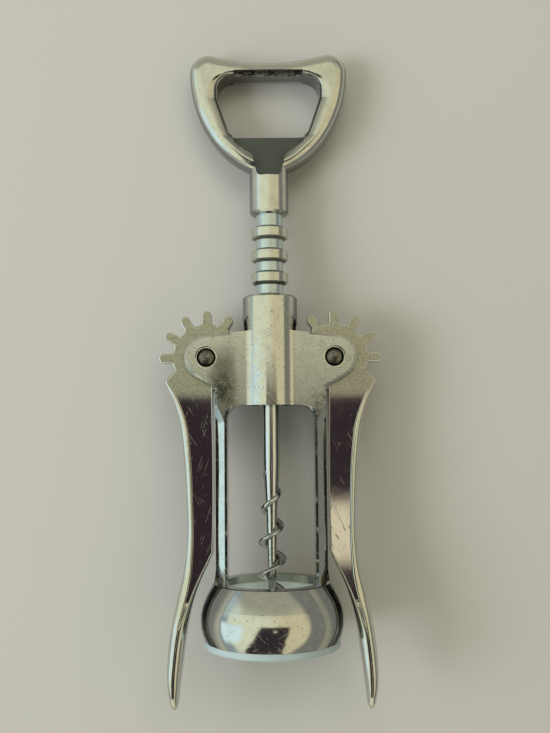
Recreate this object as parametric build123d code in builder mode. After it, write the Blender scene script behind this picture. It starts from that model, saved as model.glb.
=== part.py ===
from build123d import *
import math
import os

# Double-lever corkscrew, in millimetres, lying on its back.
# The screw axis is Y and points to the grip, X points to the right lever, and Z points to the front.
# The origin is the centre of the bell's mouth, where the bottle enters.

os.makedirs("parts", exist_ok=True)

# Bell and its plastic neck ring
bell_height = 16.9
bell_mouth_radius = 18.3
bell_belly_radius = 19.3
bell_belly_y = 7.2
bell_shoulder_radius = 18.5
bell_shoulder_y = 11.4
bell_top_radius = 15.7
bell_opening_radius = 12.55
bell_wall = 1.7
bell_top_wall = 1.9
bell_top_rounding = 0.6
ring_lip_height = 2.0
ring_lip_rounding = 0.7
ring_clearance = 0.08
bottle_seat_radius = 15.5
bottle_seat_depth = 6.0
cork_guide_radius = 12.9
cork_guide_cone_height = 4.5

# Rails and the window between them
window_height = 47.4
window_half_width = 11.8
window_corner_radius = 3.7
rail_width = 3.2
frame_half_depth = 5.0
rail_bevel = 1.8
rail_bevel_runout = 3.6
rail_bevel_end = 0.9
rail_foot_height = 4.4
rail_foot_flare = 1.4
rail_foot_depth = 2.5

# Gear teeth and the ringed rack
gear_module = 2.0
teeth_per_turn = 12
gear_teeth = 7
tooth_addendum = 1.0
tooth_width = 2.6
tooth_root_depth = 2.75
tooth_root_fillet = 0.9
tooth_root_margin = 0.1
rack_ring_radius = 5.15
rack_neck_radius = 3.75
rack_crest_width = 2.3
rack_flank_width = 0.8
rack_rings = 8
ring_count_below_pivot = 2
rack_end_length = 1.6
pitch_line_gap = 0.25

# Guide barrel and ears
barrel_radius = 7.5
barrel_length = 29.9
barrel_fillet = 3.0
barrel_end_chamfer = 0.5
pivot_above_window = 13.0
ear_radius = 5.9
ear_top_slope = 6.0
ear_under_slope = 30.0
ear_bevel = 0.7

# Pins
pin_radius = 2.6
pin_dome_height = 0.9
pin_end_depth = 0.3
pin_pit_radius = 2.95
pin_pit_depth = 1.2
pin_seat_clearance = 0.02
lever_running_clearance = 0.05

# Levers: shares are of the lever's length, down from the pivot, and the points of the two
# long edges are given as (step out from the straight part of that edge, share)
gear_thickness = 4.8
gear_side_clearance = 0.2
gear_tip_clearance = 0.4
lever_length = 93.7
lever_rail_gap = 0.7
lever_arm_width = 6.8
lever_kink_share = 0.558
lever_outer_edge = ((2.6, 0.16), (0.8, 0.288), (0.0, 0.523), (2.9, 0.694), (5.1, 0.854))
lever_inner_edge = ((2.9, 0.625), (6.1, 0.718), (8.3, 0.854))
lever_shoulder_reach = 11.4
lever_shoulder_drop = 6.3
lever_shoulder_rounding = 1.3
lever_cheek_angle = 20.0
lever_shoulder_direction = (-0.5, -1)
lever_kink_direction = (0.4, -1)
lever_tip_shift = 10.5
lever_tip_width = 2.6
lever_web_thickness = 4.6
lever_web_drop = 7.6
lever_rim_width = 1.7
lever_inner_rim_width = 0.8
lever_web_run_in = (6.1, 0.61)
lever_web_point = (7.7, 0.745)
lever_rim_rounding = 0.4
lever_grip_half_depth = 3.6
lever_grip_share = 0.224
lever_thin_share = 0.106
lever_paddle_half_depth = 5.4
lever_paddle_share = 0.832

# Stem and grip loop
stem_radius = 5.4
stem_clearance = 0.2
stem_length = 12.2
stem_end_chamfer = 0.5
top_neck_length = 3.5
loop_height = 32.8
loop_half_width = 21.9
loop_top_dip = 2.0
loop_corner_x = 15.3
loop_corner_drop = 5.1
loop_waist_x = 16.2
loop_waist_rise = 9.1
loop_half_depth = 4.4
loop_rounding = 3.2
stem_top_rise = 3.4
stem_top_rounding = 3.0
grip_window_base = 9.2
grip_window_height = 17.7
grip_window_side_height = 7.0
grip_window_half_width = 14.2
grip_window_low_half_width = 10.5
grip_window_rounding = 4.6
grip_window_low_rounding = 2.4
grip_web_thickness = 4.2
grip_inner_rounding = 0.9
grip_face_margin = 0.1
web_shoulder_x = 9.6
web_shoulder_drop = 1.8
web_waist_x = 4.6
web_waist_drop = 5.5
web_end_x = 3.1
web_end_drop = 11.3
web_rounding = 1.4
cap_lip_width = 1.0
cap_lip_half_length = 9.6

# Worm: its core and its blade are given by cuts at heights above the point, the core's as
# (height, radius) and the blade's as (height, reach, width at the core, width at the edge)
worm_shank_radius = 2.3
worm_socket_depth = 8.0
worm_socket_clearance = 0.01
worm_length = 57.5
worm_pitch = 8.9
worm_crossing_y = 38.4
worm_blade_root_radius = 0.15
worm_core_cuts = ((0.0, 0.25), (8.0, 1.0), (16.0, 1.15), (29.0, 1.5))
worm_blade_cuts = (
    (0.0, 0.3, 0.3, 0.1),
    (8.0, 4.0, 1.7, 0.35),
    (16.0, 4.0, 1.7, 0.4),
    (24.0, 3.4, 1.7, 0.7),
    (32.0, 2.7, 1.7, 1.1),
    (39.9, 2.2, 1.7, 1.3),
)

# Places that follow from the sizes
window_top_y = bell_height + window_height
frame_half_width = window_half_width + rail_width
pivot_y = window_top_y + pivot_above_window
pitch_radius = gear_module * teeth_per_turn / 2
rack_pitch = math.pi * gear_module
pivot_x = rack_ring_radius + pitch_line_gap + pitch_radius
tooth_tip_radius = pitch_radius + tooth_addendum
tooth_root_radius = pitch_radius - tooth_root_depth
gear_well_radius = tooth_tip_radius + gear_tip_clearance
gear_slot_depth = gear_thickness + 2 * gear_side_clearance
barrel_bore_radius = stem_radius + stem_clearance
ring_half_width = rack_crest_width / 2 + rack_flank_width
first_ring_y = pivot_y - ring_count_below_pivot * rack_pitch + rack_pitch / 2
last_ring_y = first_ring_y + (rack_rings - 1) * rack_pitch
rack_end_y = first_ring_y - ring_half_width - rack_end_length
stem_bottom_y = last_ring_y + ring_half_width + top_neck_length
loop_base_y = stem_bottom_y + stem_length
lever_inner_x = frame_half_width + lever_rail_gap
grip_window_low_y = loop_base_y + grip_window_base
grip_window_high_y = grip_window_low_y + grip_window_height
worm_tip_y = rack_end_y - worm_length
worm_blade_length = worm_blade_cuts[-1][0]
worm_turn = 270 - 360 * (worm_crossing_y - worm_tip_y) / worm_pitch


def across(y):
    """Plane square to the screw axis at height y, with X to the right."""
    return Plane(origin=(0, y, 0), x_dir=(1, 0, 0), z_dir=(0, 1, 0))


def bell_profile(inset, top_y, rounding):
    """Half section of the solid inside the bell's side, moved in by inset and cut off at top_y."""
    with BuildSketch(Plane.XY) as profile:
        with BuildLine():
            belly = ThreePointArc(
                (bell_mouth_radius - inset, ring_lip_height),
                (bell_belly_radius - inset, bell_belly_y),
                (bell_shoulder_radius - inset, bell_shoulder_y),
            )
            side = TangentArc(belly @ 1, (bell_top_radius - inset, bell_height), tangent=belly % 1)
            Polyline(side @ 1, (0, bell_height), (0, ring_lip_height), belly @ 0)
        make_face()
        with Locations((0, top_y)):
            Rectangle(bell_belly_radius, bell_height, align=Align.MIN, mode=Mode.SUBTRACT)
        if rounding > 0:
            fillet(profile.vertices().group_by(Axis.Y)[-1].sort_by(Axis.X)[-1], rounding)
    return profile.sketch


def frame_outline():
    """Front outline of the ears, the rails and their flared feet."""
    slope = math.radians(ear_top_slope)
    under = math.radians(ear_under_slope)
    ear_top = (pivot_x + ear_radius * math.sin(slope), pivot_y + ear_radius * math.cos(slope))
    ear_side = (pivot_x + ear_radius, pivot_y)
    ear_low = (pivot_x + ear_radius * math.sin(under), pivot_y - ear_radius * math.cos(under))
    kink = (frame_half_width, ear_low[1] - (ear_low[0] - frame_half_width) * math.tan(under))
    centre_top = (0, ear_top[1] + ear_top[0] * math.tan(slope))
    foot_y = bell_height - rail_foot_depth
    with BuildSketch(Plane.XY) as outline:
        with BuildLine():
            Line(centre_top, ear_top)
            ThreePointArc(ear_top, ear_side, ear_low)
            side = Polyline(ear_low, kink, (frame_half_width, bell_height + rail_foot_height))
            foot = TangentArc(side @ 1, (frame_half_width + rail_foot_flare, foot_y), tangent=(0, -1))
            Polyline(foot @ 1, (0, foot_y), centre_top)
        make_face()
        mirror(about=Plane.YZ)
    return outline.sketch


# Guide barrel with the hollows that run out into the ears
with BuildPart() as barrel:
    with BuildSketch(across(window_top_y)) as section:
        Circle(barrel_radius)
        Rectangle(2 * (barrel_radius + barrel_fillet), 2 * frame_half_depth)
        waists = section.vertices().filter_by(lambda v: abs(v.X) < barrel_radius)
        fillet(waists, barrel_fillet)
    extrude(amount=barrel_length)
    add(frame_outline())
    extrude(amount=barrel_radius, both=True, mode=Mode.INTERSECT)
    with BuildSketch(across(window_top_y)):
        Circle(barrel_radius)
    extrude(amount=barrel_length)
    chamfer(barrel.faces().sort_by(Axis.Y)[-1].edges(), barrel_end_chamfer)

# Bevel along the outer front edge of the right rail, fading out below the ear
with BuildPart() as rail_bevel_cut:
    bevel_top_y = pivot_y - pivot_above_window - rail_bevel_end
    with BuildSketch(across(bevel_top_y - rail_bevel_runout)) as full_bevel:
        with Locations((frame_half_width, frame_half_depth)):
            Rectangle(2 * rail_bevel, 2 * rail_bevel, rotation=45)
    extrude(amount=-window_height)
    with BuildSketch(across(bevel_top_y)) as faded_bevel:
        with Locations((frame_half_width, frame_half_depth)):
            Rectangle(2 * ear_bevel, 2 * ear_bevel, rotation=45)
    loft(sections=[full_bevel.sketch, faded_bevel.sketch])

# Frame: bell, rails, ears and guide barrel, cast in one
with BuildPart() as frame:
    add(frame_outline())
    extrude(amount=frame_half_depth, both=True)
    with BuildSketch(Plane.XY) as window:
        with Locations((0, window_top_y)):
            window_size = (2 * window_half_width, window_height + 2 * rail_foot_depth)
            Rectangle(*window_size, align=(Align.CENTER, Align.MAX))
        fillet(window.vertices().group_by(Axis.Y)[-1], window_corner_radius)
    extrude(amount=frame_half_depth, both=True, mode=Mode.SUBTRACT)
    flat_rims = frame.faces().filter_by(Axis.Z).edges().filter_by(lambda e: e.center().Y > bell_height)
    chamfer(flat_rims, ear_bevel)
    for side_of_frame in (rail_bevel_cut.part, rail_bevel_cut.part.mirror(Plane.YZ)):
        add(side_of_frame, mode=Mode.SUBTRACT)
        add(side_of_frame.mirror(Plane.XY), mode=Mode.SUBTRACT)
    add(barrel.part)
    add(bell_profile(0, bell_height, bell_top_rounding))
    revolve(axis=Axis.Y)
    add(bell_profile(bell_wall, bell_height - bell_top_wall, 0))
    revolve(axis=Axis.Y, mode=Mode.SUBTRACT)
    with BuildSketch(across(bell_height)):
        Circle(bell_opening_radius)
    extrude(amount=-bell_height, mode=Mode.SUBTRACT)
    with BuildSketch(across(window_top_y)):
        Circle(barrel_bore_radius)
    extrude(amount=barrel_length, mode=Mode.SUBTRACT)
    with BuildSketch(Plane.XY):
        with Locations((pivot_x, pivot_y), (-pivot_x, pivot_y)):
            Circle(gear_well_radius)
    extrude(amount=gear_slot_depth / 2, both=True, mode=Mode.SUBTRACT)
    with BuildSketch(Plane.XY):
        with Locations((pivot_x, pivot_y), (-pivot_x, pivot_y)):
            Circle(pin_radius + pin_seat_clearance)
    extrude(amount=frame_half_depth, both=True, mode=Mode.SUBTRACT)
    for face_side in (1, -1):
        with BuildSketch(Plane.XY.offset(face_side * frame_half_depth)):
            with Locations((pivot_x, pivot_y), (-pivot_x, pivot_y)):
                Circle(pin_pit_radius)
        extrude(amount=-face_side * pin_pit_depth, mode=Mode.SUBTRACT)

# Neck ring: plastic liner that snaps into the bell, with a lip round the mouth
with BuildPart() as neck_ring:
    add(bell_profile(bell_wall + ring_clearance, bell_height - bell_top_wall - ring_clearance, 0))
    revolve(axis=Axis.Y)
    with BuildSketch(Plane.XY) as lip:
        Rectangle(bell_mouth_radius, ring_lip_height - ring_clearance, align=Align.MIN)
        fillet(lip.vertices().group_by(Axis.Y)[0].sort_by(Axis.X)[-1], ring_lip_rounding)
    revolve(axis=Axis.Y)
    with BuildSketch(Plane.XY):
        throat_radius = bell_mouth_radius - bell_wall - ring_clearance
        Rectangle(throat_radius, ring_lip_height, align=Align.MIN)
    revolve(axis=Axis.Y)
    with BuildSketch(Plane.XY):
        with BuildLine():
            cone_top_y = bottle_seat_depth + cork_guide_cone_height
            Polyline(
                (0, 0),
                (bottle_seat_radius, 0),
                (bottle_seat_radius, bottle_seat_depth),
                (cork_guide_radius, cone_top_y),
                (cork_guide_radius, bell_height),
                (0, bell_height),
                close=True,
            )
        make_face()
    revolve(axis=Axis.Y, mode=Mode.SUBTRACT)

# Pivot pins: headless, with domed ends that lie in the pits of the ears
pins = {}
for pin_name, pin_side in (("left_pivot_pin", -1), ("right_pivot_pin", 1)):
    with BuildPart() as pin:
        shoulder_z = frame_half_depth - pin_end_depth - pin_dome_height
        with BuildSketch(Plane.XZ):
            with BuildLine():
                dome = TangentArc((0, shoulder_z + pin_dome_height), (pin_radius, shoulder_z), tangent=(1, 0))
                Polyline(dome @ 1, (pin_radius, 0), (0, 0), dome @ 0)
            make_face()
            mirror(about=Plane.XZ)
        revolve(axis=Axis.Z)
    pins[pin_name] = Pos(pin_side * pivot_x, pivot_y, 0) * pin.part


def lever_y(share):
    """Height of a point on the hanging lever, at a share of its length below the pivot."""
    return pivot_y - share * lever_length


def lever_outline(outer_rim, inner_rim):
    """Outline of the lever's arm, moved in by outer_rim and inner_rim at its two long edges."""
    outer_x = lever_inner_x + lever_arm_width - outer_rim
    inner_x = lever_inner_x + inner_rim
    tip_x = lever_inner_x + lever_tip_shift
    half_tip = lever_tip_width / 2
    tip_y = pivot_y - lever_length
    shoulder = (pivot_x + lever_shoulder_reach - outer_rim, pivot_y - lever_shoulder_drop)
    cheek_angle = math.radians(lever_cheek_angle)
    cheek_x = pivot_x + tooth_root_radius * math.cos(cheek_angle)
    cheek_y = pivot_y - tooth_root_radius * math.sin(cheek_angle)
    with BuildSketch(Plane.XY) as outline:
        with BuildLine():
            outer_points = [(outer_x + step, lever_y(share)) for step, share in lever_outer_edge]
            outer_end = (tip_x + half_tip - outer_rim, tip_y + half_tip)
            outer = Spline(shoulder, *outer_points, outer_end, tangents=(lever_shoulder_direction, (0, -1)))
            kink = (inner_x, lever_y(lever_kink_share))
            inner_points = [(inner_x + step, lever_y(share)) for step, share in lever_inner_edge]
            inner_end = (tip_x - half_tip + inner_rim, tip_y + half_tip)
            inner = Spline(kink, *inner_points, inner_end, tangents=(lever_kink_direction, (0, -1)))
            ThreePointArc(outer @ 1, (tip_x, tip_y), inner @ 1)
            Polyline(inner @ 0, (inner_x, cheek_y), (cheek_x, cheek_y), shoulder)
        make_face()
    return outline.sketch


# Right lever: gear sector, sunken web and a rim that widens into the thumb paddle
with BuildPart() as right_lever:
    with BuildSketch(Plane.XY) as arm:
        add(lever_outline(0, 0))
        shoulder_point = (pivot_x + lever_shoulder_reach, pivot_y - lever_shoulder_drop, 0)
        fillet(arm.vertices().sort_by_distance(shoulder_point)[0], lever_shoulder_rounding)
    extrude(amount=2 * lever_paddle_half_depth, both=True)
    with BuildSketch(Plane.YZ):
        with BuildLine():
            tip_y = pivot_y - lever_length
            edge = Spline(
                (tip_y, lever_tip_width / 2),
                (lever_y(lever_paddle_share), lever_paddle_half_depth),
                (lever_y(lever_kink_share), lever_grip_half_depth),
                (lever_y(lever_grip_share), lever_grip_half_depth),
                (lever_y(lever_thin_share), gear_thickness / 2),
            )
            Polyline(edge @ 1, (pivot_y, gear_thickness / 2), (pivot_y, 0), (tip_y, 0), edge @ 0)
        make_face()
        mirror(about=Plane.XZ)
    extrude(amount=2 * lever_shoulder_reach + 2 * pivot_x, mode=Mode.INTERSECT)
    long_edges = right_lever.edges().filter_by(lambda e: abs(e.center().Z) > 1 and e.length > 3)
    fillet(long_edges.filter_by(lambda e: e.center().Y < lever_y(lever_thin_share)), lever_rim_rounding)
    for web_side in (1, -1):
        with BuildSketch(Plane.XY.offset(web_side * lever_web_thickness / 2)):
            add(lever_outline(lever_rim_width, lever_inner_rim_width))
            with Locations((pivot_x, pivot_y - lever_web_drop)):
                above_web = (Align.CENTER, Align.MIN)
                Rectangle(4 * lever_arm_width, lever_web_drop, align=above_web, mode=Mode.SUBTRACT)
            run_in_x, run_in_y = lever_inner_x + lever_web_run_in[0], lever_y(lever_web_run_in[1])
            point_x, point_y = lever_inner_x + lever_web_point[0], lever_y(lever_web_point[1])
            Polygon(
                (run_in_x, run_in_y),
                (point_x, point_y),
                (0, point_y),
                (0, point_y - lever_length),
                (2 * point_x, point_y - lever_length),
                (2 * point_x, run_in_y),
                align=None,
                mode=Mode.SUBTRACT,
            )
        extrude(amount=web_side * lever_paddle_half_depth, mode=Mode.SUBTRACT)
    with BuildSketch(Plane.XY) as gear:
        with Locations((pivot_x, pivot_y)):
            Circle(tooth_root_radius)
            with PolarLocations(tooth_tip_radius - tooth_width, gear_teeth, 0, 180, endpoint=True):
                SlotOverall(2 * tooth_width, tooth_width)
        roots = gear.vertices().filter_by(
            lambda v: math.hypot(v.X - pivot_x, v.Y - pivot_y) < tooth_root_radius + tooth_root_margin
        )
        fillet(roots, tooth_root_fillet)
    extrude(amount=gear_thickness / 2, both=True)
    with BuildSketch(Plane.XY):
        with Locations((pivot_x, pivot_y)):
            Circle(pin_radius + lever_running_clearance)
    extrude(amount=gear_thickness, both=True, mode=Mode.SUBTRACT)

# Left lever: the mirror image of the right one
with BuildPart() as left_lever:
    mirror(right_lever.part, about=Plane.YZ)


def loop_outline():
    """Outer outline of the grip loop: arcs that spread from the stem and dip along the top."""
    top_y = loop_base_y + loop_height
    with BuildSketch(Plane.XY) as outline:
        with BuildLine():
            top = ThreePointArc((-loop_corner_x, top_y), (0, top_y - loop_top_dip), (loop_corner_x, top_y))
            corner = TangentArc(top @ 1, (loop_half_width, top_y - loop_corner_drop), tangent=top % 1)
            side = TangentArc(corner @ 1, (loop_waist_x, loop_base_y + loop_waist_rise), tangent=corner % 1)
            low = TangentArc(side @ 1, (stem_radius, loop_base_y), tangent=side % 1)
            for arc in (corner, side, low):
                mirror(arc, about=Plane.YZ)
            TangentArc(low @ 1, (-stem_radius, loop_base_y), tangent=low % 1)
        make_face()
    return outline.sketch


def grip_window():
    """Outline of the hole through the grip, wide and square at the top and narrower below."""
    side_y = grip_window_high_y - grip_window_side_height
    with BuildSketch(Plane.XY) as outline:
        with BuildLine():
            Polyline(
                (0, grip_window_high_y),
                (grip_window_half_width, grip_window_high_y),
                (grip_window_half_width, side_y),
                (grip_window_low_half_width, grip_window_low_y),
                (0, grip_window_low_y),
                close=True,
            )
        make_face()
        mirror(about=Plane.YZ)
        fillet(outline.vertices().group_by(Axis.Y)[-1], grip_window_rounding)
        fillet(outline.vertices().group_by(Axis.Y)[0], grip_window_low_rounding)
    return outline.sketch


def grip_hollow():
    """Outline of the hollow in each face of the grip: the window, the cap lip and the sunken web."""
    with BuildSketch(Plane.XY) as outline:
        with BuildLine():
            Polyline(
                (0, grip_window_low_y + grip_window_low_rounding),
                (grip_window_low_half_width, grip_window_low_y + grip_window_low_rounding),
                (web_shoulder_x, grip_window_low_y - web_shoulder_drop),
                (web_waist_x, grip_window_low_y - web_waist_drop),
                (web_end_x, grip_window_low_y - web_end_drop),
                (0, grip_window_low_y - web_end_drop),
                close=True,
            )
        make_face()
        mirror(about=Plane.YZ)
        web_corners = outline.vertices().filter_by(lambda v: v.Y < grip_window_low_y)
        fillet(web_corners, web_rounding)
        add(grip_window())
        with Locations((0, grip_window_high_y)):
            Rectangle(2 * cap_lip_half_length, 2 * cap_lip_width)
    return outline.sketch


# Grip, stem and ringed rack, cast in one
with BuildPart() as handle_rack:
    add(loop_outline())
    extrude(amount=loop_half_depth, both=True)
    fillet(handle_rack.faces().filter_by(Axis.Z).edges(), loop_rounding)
    stem_top_y = loop_base_y + stem_top_rise
    rack_points = [(0, rack_end_y), (rack_neck_radius, rack_end_y)]
    for ring in range(rack_rings):
        ring_y = first_ring_y + ring * rack_pitch
        rack_points.append((rack_neck_radius, ring_y - ring_half_width))
        rack_points.append((rack_ring_radius, ring_y - rack_crest_width / 2))
        rack_points.append((rack_ring_radius, ring_y + rack_crest_width / 2))
        rack_points.append((rack_neck_radius, ring_y + ring_half_width))
    rack_points.append((rack_neck_radius, stem_bottom_y))
    rack_points.append((stem_radius, stem_bottom_y))
    rack_points.append((stem_radius, stem_top_y))
    rack_points.append((0, stem_top_y))
    with BuildSketch(Plane.XY) as half_section:
        with BuildLine():
            Polyline(*rack_points, close=True)
        make_face()
        corners = half_section.vertices()
        rack_corner = corners.sort_by_distance((rack_neck_radius, rack_end_y, 0))[0]
        stem_corner = corners.sort_by_distance((stem_radius, stem_bottom_y, 0))[0]
        top_corner = corners.sort_by_distance((stem_radius, stem_top_y, 0))[0]
        chamfer([rack_corner, stem_corner], stem_end_chamfer)
        fillet(top_corner, stem_top_rounding)
    revolve(axis=Axis.Y)
    for face_side in (1, -1):
        with BuildSketch(Plane.XY.offset(face_side * grip_web_thickness / 2)):
            add(grip_hollow())
        extrude(amount=face_side * stem_radius, mode=Mode.SUBTRACT)
    with BuildSketch(Plane.XY):
        add(grip_window())
    extrude(amount=loop_half_depth, both=True, mode=Mode.SUBTRACT)
    flat_edges = handle_rack.faces().filter_by(Axis.Z).filter_by(
        lambda face: abs(face.center().Z) > loop_half_depth - grip_face_margin
    ).edges()
    window_edges = flat_edges.filter_by(
        lambda edge: cap_lip_half_length <= abs(edge.center().X) <= grip_window_half_width
        and grip_window_low_y < edge.center().Y < grip_window_high_y + cap_lip_width / 2
    )
    fillet(window_edges, grip_inner_rounding)
    with BuildSketch(across(rack_end_y)):
        Circle(worm_shank_radius + worm_socket_clearance)
    extrude(amount=worm_socket_depth, mode=Mode.SUBTRACT)

def blade_section(spiral, height, reach, core_width, edge_width):
    """Cut through the worm's blade at a height above the point, thick inside and thin outside."""
    share = height / worm_blade_length
    place = spiral @ share
    outward = Vector(place.X, place.Y, 0).normalized()
    with BuildSketch(Plane(origin=place, x_dir=outward, z_dir=spiral % share)) as section:
        Polygon(
            (worm_blade_root_radius - worm_shank_radius, core_width / 2),
            (worm_blade_root_radius - worm_shank_radius, -core_width / 2),
            (reach - worm_shank_radius, -edge_width / 2),
            (reach - worm_shank_radius, edge_width / 2),
            align=None,
        )
    return section.sketch


# Steel worm, built point first along its own axis: the blade grows from the point and sinks
# into the core higher up, where the core grows into the round shank
with BuildPart() as worm:
    with BuildLine():
        spiral = Helix(worm_pitch, worm_blade_length, worm_shank_radius)
    blade_sections = [blade_section(spiral, *cut) for cut in worm_blade_cuts]
    sweep(sections=blade_sections, path=spiral, is_frenet=True, multisection=True)
    with BuildSketch(Plane.XZ):
        with BuildLine():
            core_points = [(radius, height) for height, radius in worm_core_cuts]
            shank_start = (worm_shank_radius, worm_blade_length)
            core = Spline(*core_points, shank_start, tangents=((0.1, 1), (0, 1)))
            shank_top_y = worm_length + worm_socket_depth
            Polyline(core @ 1, (worm_shank_radius, shank_top_y), (0, shank_top_y), (0, 0), core @ 0)
        make_face()
    revolve(axis=Axis.Z)

# The worm in its place, turned so that the blade crosses the front at worm_crossing_y
worm_in_place = across(worm_tip_y) * Rot(0, 0, worm_turn) * worm.part

nodes = {
    "frame": frame.part,
    "neck_ring": neck_ring.part,
    "handle_rack": handle_rack.part,
    "worm": worm_in_place,
    "left_lever": left_lever.part,
    "right_lever": right_lever.part,
    "left_pivot_pin": pins["left_pivot_pin"],
    "right_pivot_pin": pins["right_pivot_pin"],
}
for node_name, node in nodes.items():
    node.label = node_name
    export_step(node, "parts/" + node_name + ".step")
    print(node_name, len(node.solids()), "solid", round(node.volume), "cubic mm", "valid", node.is_valid)
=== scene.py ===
# %% [markdown]
# # A double-lever corkscrew, dressed for a product picture
#
# The rigid parts come ready made from the CAD model: the frame with its bell and barrel, the grip
# with its ringed rack, two geared levers, two pivot pins and the plastic neck ring. This script
# gives them their finishes, lights them and sets the camera. The corkscrew lies on its back: X runs
# to the right lever, Y along the screw towards the grip, and Z out of the front face. Blender
# works in metres, and the sizes below are written in millimetres, turned to metres by `MM`.

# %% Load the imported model
import math

import bpy
import numpy as np
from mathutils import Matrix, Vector


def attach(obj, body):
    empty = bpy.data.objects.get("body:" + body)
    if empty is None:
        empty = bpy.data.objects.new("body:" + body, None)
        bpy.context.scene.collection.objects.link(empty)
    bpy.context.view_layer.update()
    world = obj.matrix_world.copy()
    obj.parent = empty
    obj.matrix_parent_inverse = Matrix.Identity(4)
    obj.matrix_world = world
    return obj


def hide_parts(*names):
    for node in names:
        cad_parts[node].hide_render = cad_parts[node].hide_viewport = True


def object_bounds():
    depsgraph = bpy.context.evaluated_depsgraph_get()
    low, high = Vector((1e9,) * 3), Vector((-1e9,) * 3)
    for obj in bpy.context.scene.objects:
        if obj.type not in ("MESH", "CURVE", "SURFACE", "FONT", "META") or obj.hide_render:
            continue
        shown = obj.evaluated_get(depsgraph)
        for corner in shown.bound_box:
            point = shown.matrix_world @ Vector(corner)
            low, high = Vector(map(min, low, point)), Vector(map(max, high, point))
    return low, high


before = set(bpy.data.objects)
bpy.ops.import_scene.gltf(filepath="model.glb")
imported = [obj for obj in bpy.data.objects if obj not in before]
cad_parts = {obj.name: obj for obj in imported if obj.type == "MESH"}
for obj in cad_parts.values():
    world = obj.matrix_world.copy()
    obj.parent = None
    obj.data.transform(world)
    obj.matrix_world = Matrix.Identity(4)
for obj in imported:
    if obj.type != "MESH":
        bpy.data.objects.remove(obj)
cad_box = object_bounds()
MM = 0.001
print("CAD nodes:", ", ".join(sorted(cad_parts)))

# %% [markdown]
# ## Writing shaders as sums
#
# A finish is worked out from many small sums, such as "the pits, but only on the barrel". Placing
# a Math node for each by hand is slow to read, so a `Wire` wraps the output of a node, and adding
# or multiplying wires adds the nodes. A `Finish` is one material on its way: its one method
# `node` makes any other node from its type, its settings and what goes into its sockets.

# %% Wires that can be added and multiplied
class Wire:
    """The output of a node. Sums of wires and numbers add Math nodes and give a new wire."""

    def __init__(self, finish, socket):
        self.finish = finish
        self.socket = socket

    def math(self, operation, *values):
        return self.finish.node("ShaderNodeMath", {"operation": operation}, dict(enumerate(values)))

    def __add__(self, other):
        return self.math("ADD", self, other)

    def __sub__(self, other):
        return self.math("SUBTRACT", self, other)

    def __mul__(self, other):
        return self.math("MULTIPLY", self, other)

    def __truediv__(self, other):
        return self.math("DIVIDE", self, other)

    def __radd__(self, other):
        return self.math("ADD", other, self)

    def __rsub__(self, other):
        return self.math("SUBTRACT", other, self)

    def __rmul__(self, other):
        return self.math("MULTIPLY", other, self)

    def at_most(self, other):
        return self.math("MINIMUM", self, other)

    def at_least(self, other):
        return self.math("MAXIMUM", self, other)

    def size(self):
        """The wire without its sign."""
        return self.math("ABSOLUTE", self)

    def ramp(self, low, high):
        """0 below low, 1 above high, and a smooth step between. Low may be the larger one."""
        if low > high:
            return 1 - self.ramp(high, low)
        settings = {"interpolation_type": "SMOOTHSTEP"}
        inputs = {"Value": self, "From Min": low, "From Max": high}
        return self.finish.node("ShaderNodeMapRange", settings, inputs)

    def near(self, centre, core, reach):
        """1 up to core away from the centre, falling smoothly to 0 at reach."""
        return (self - centre).size().ramp(reach, core)


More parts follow.
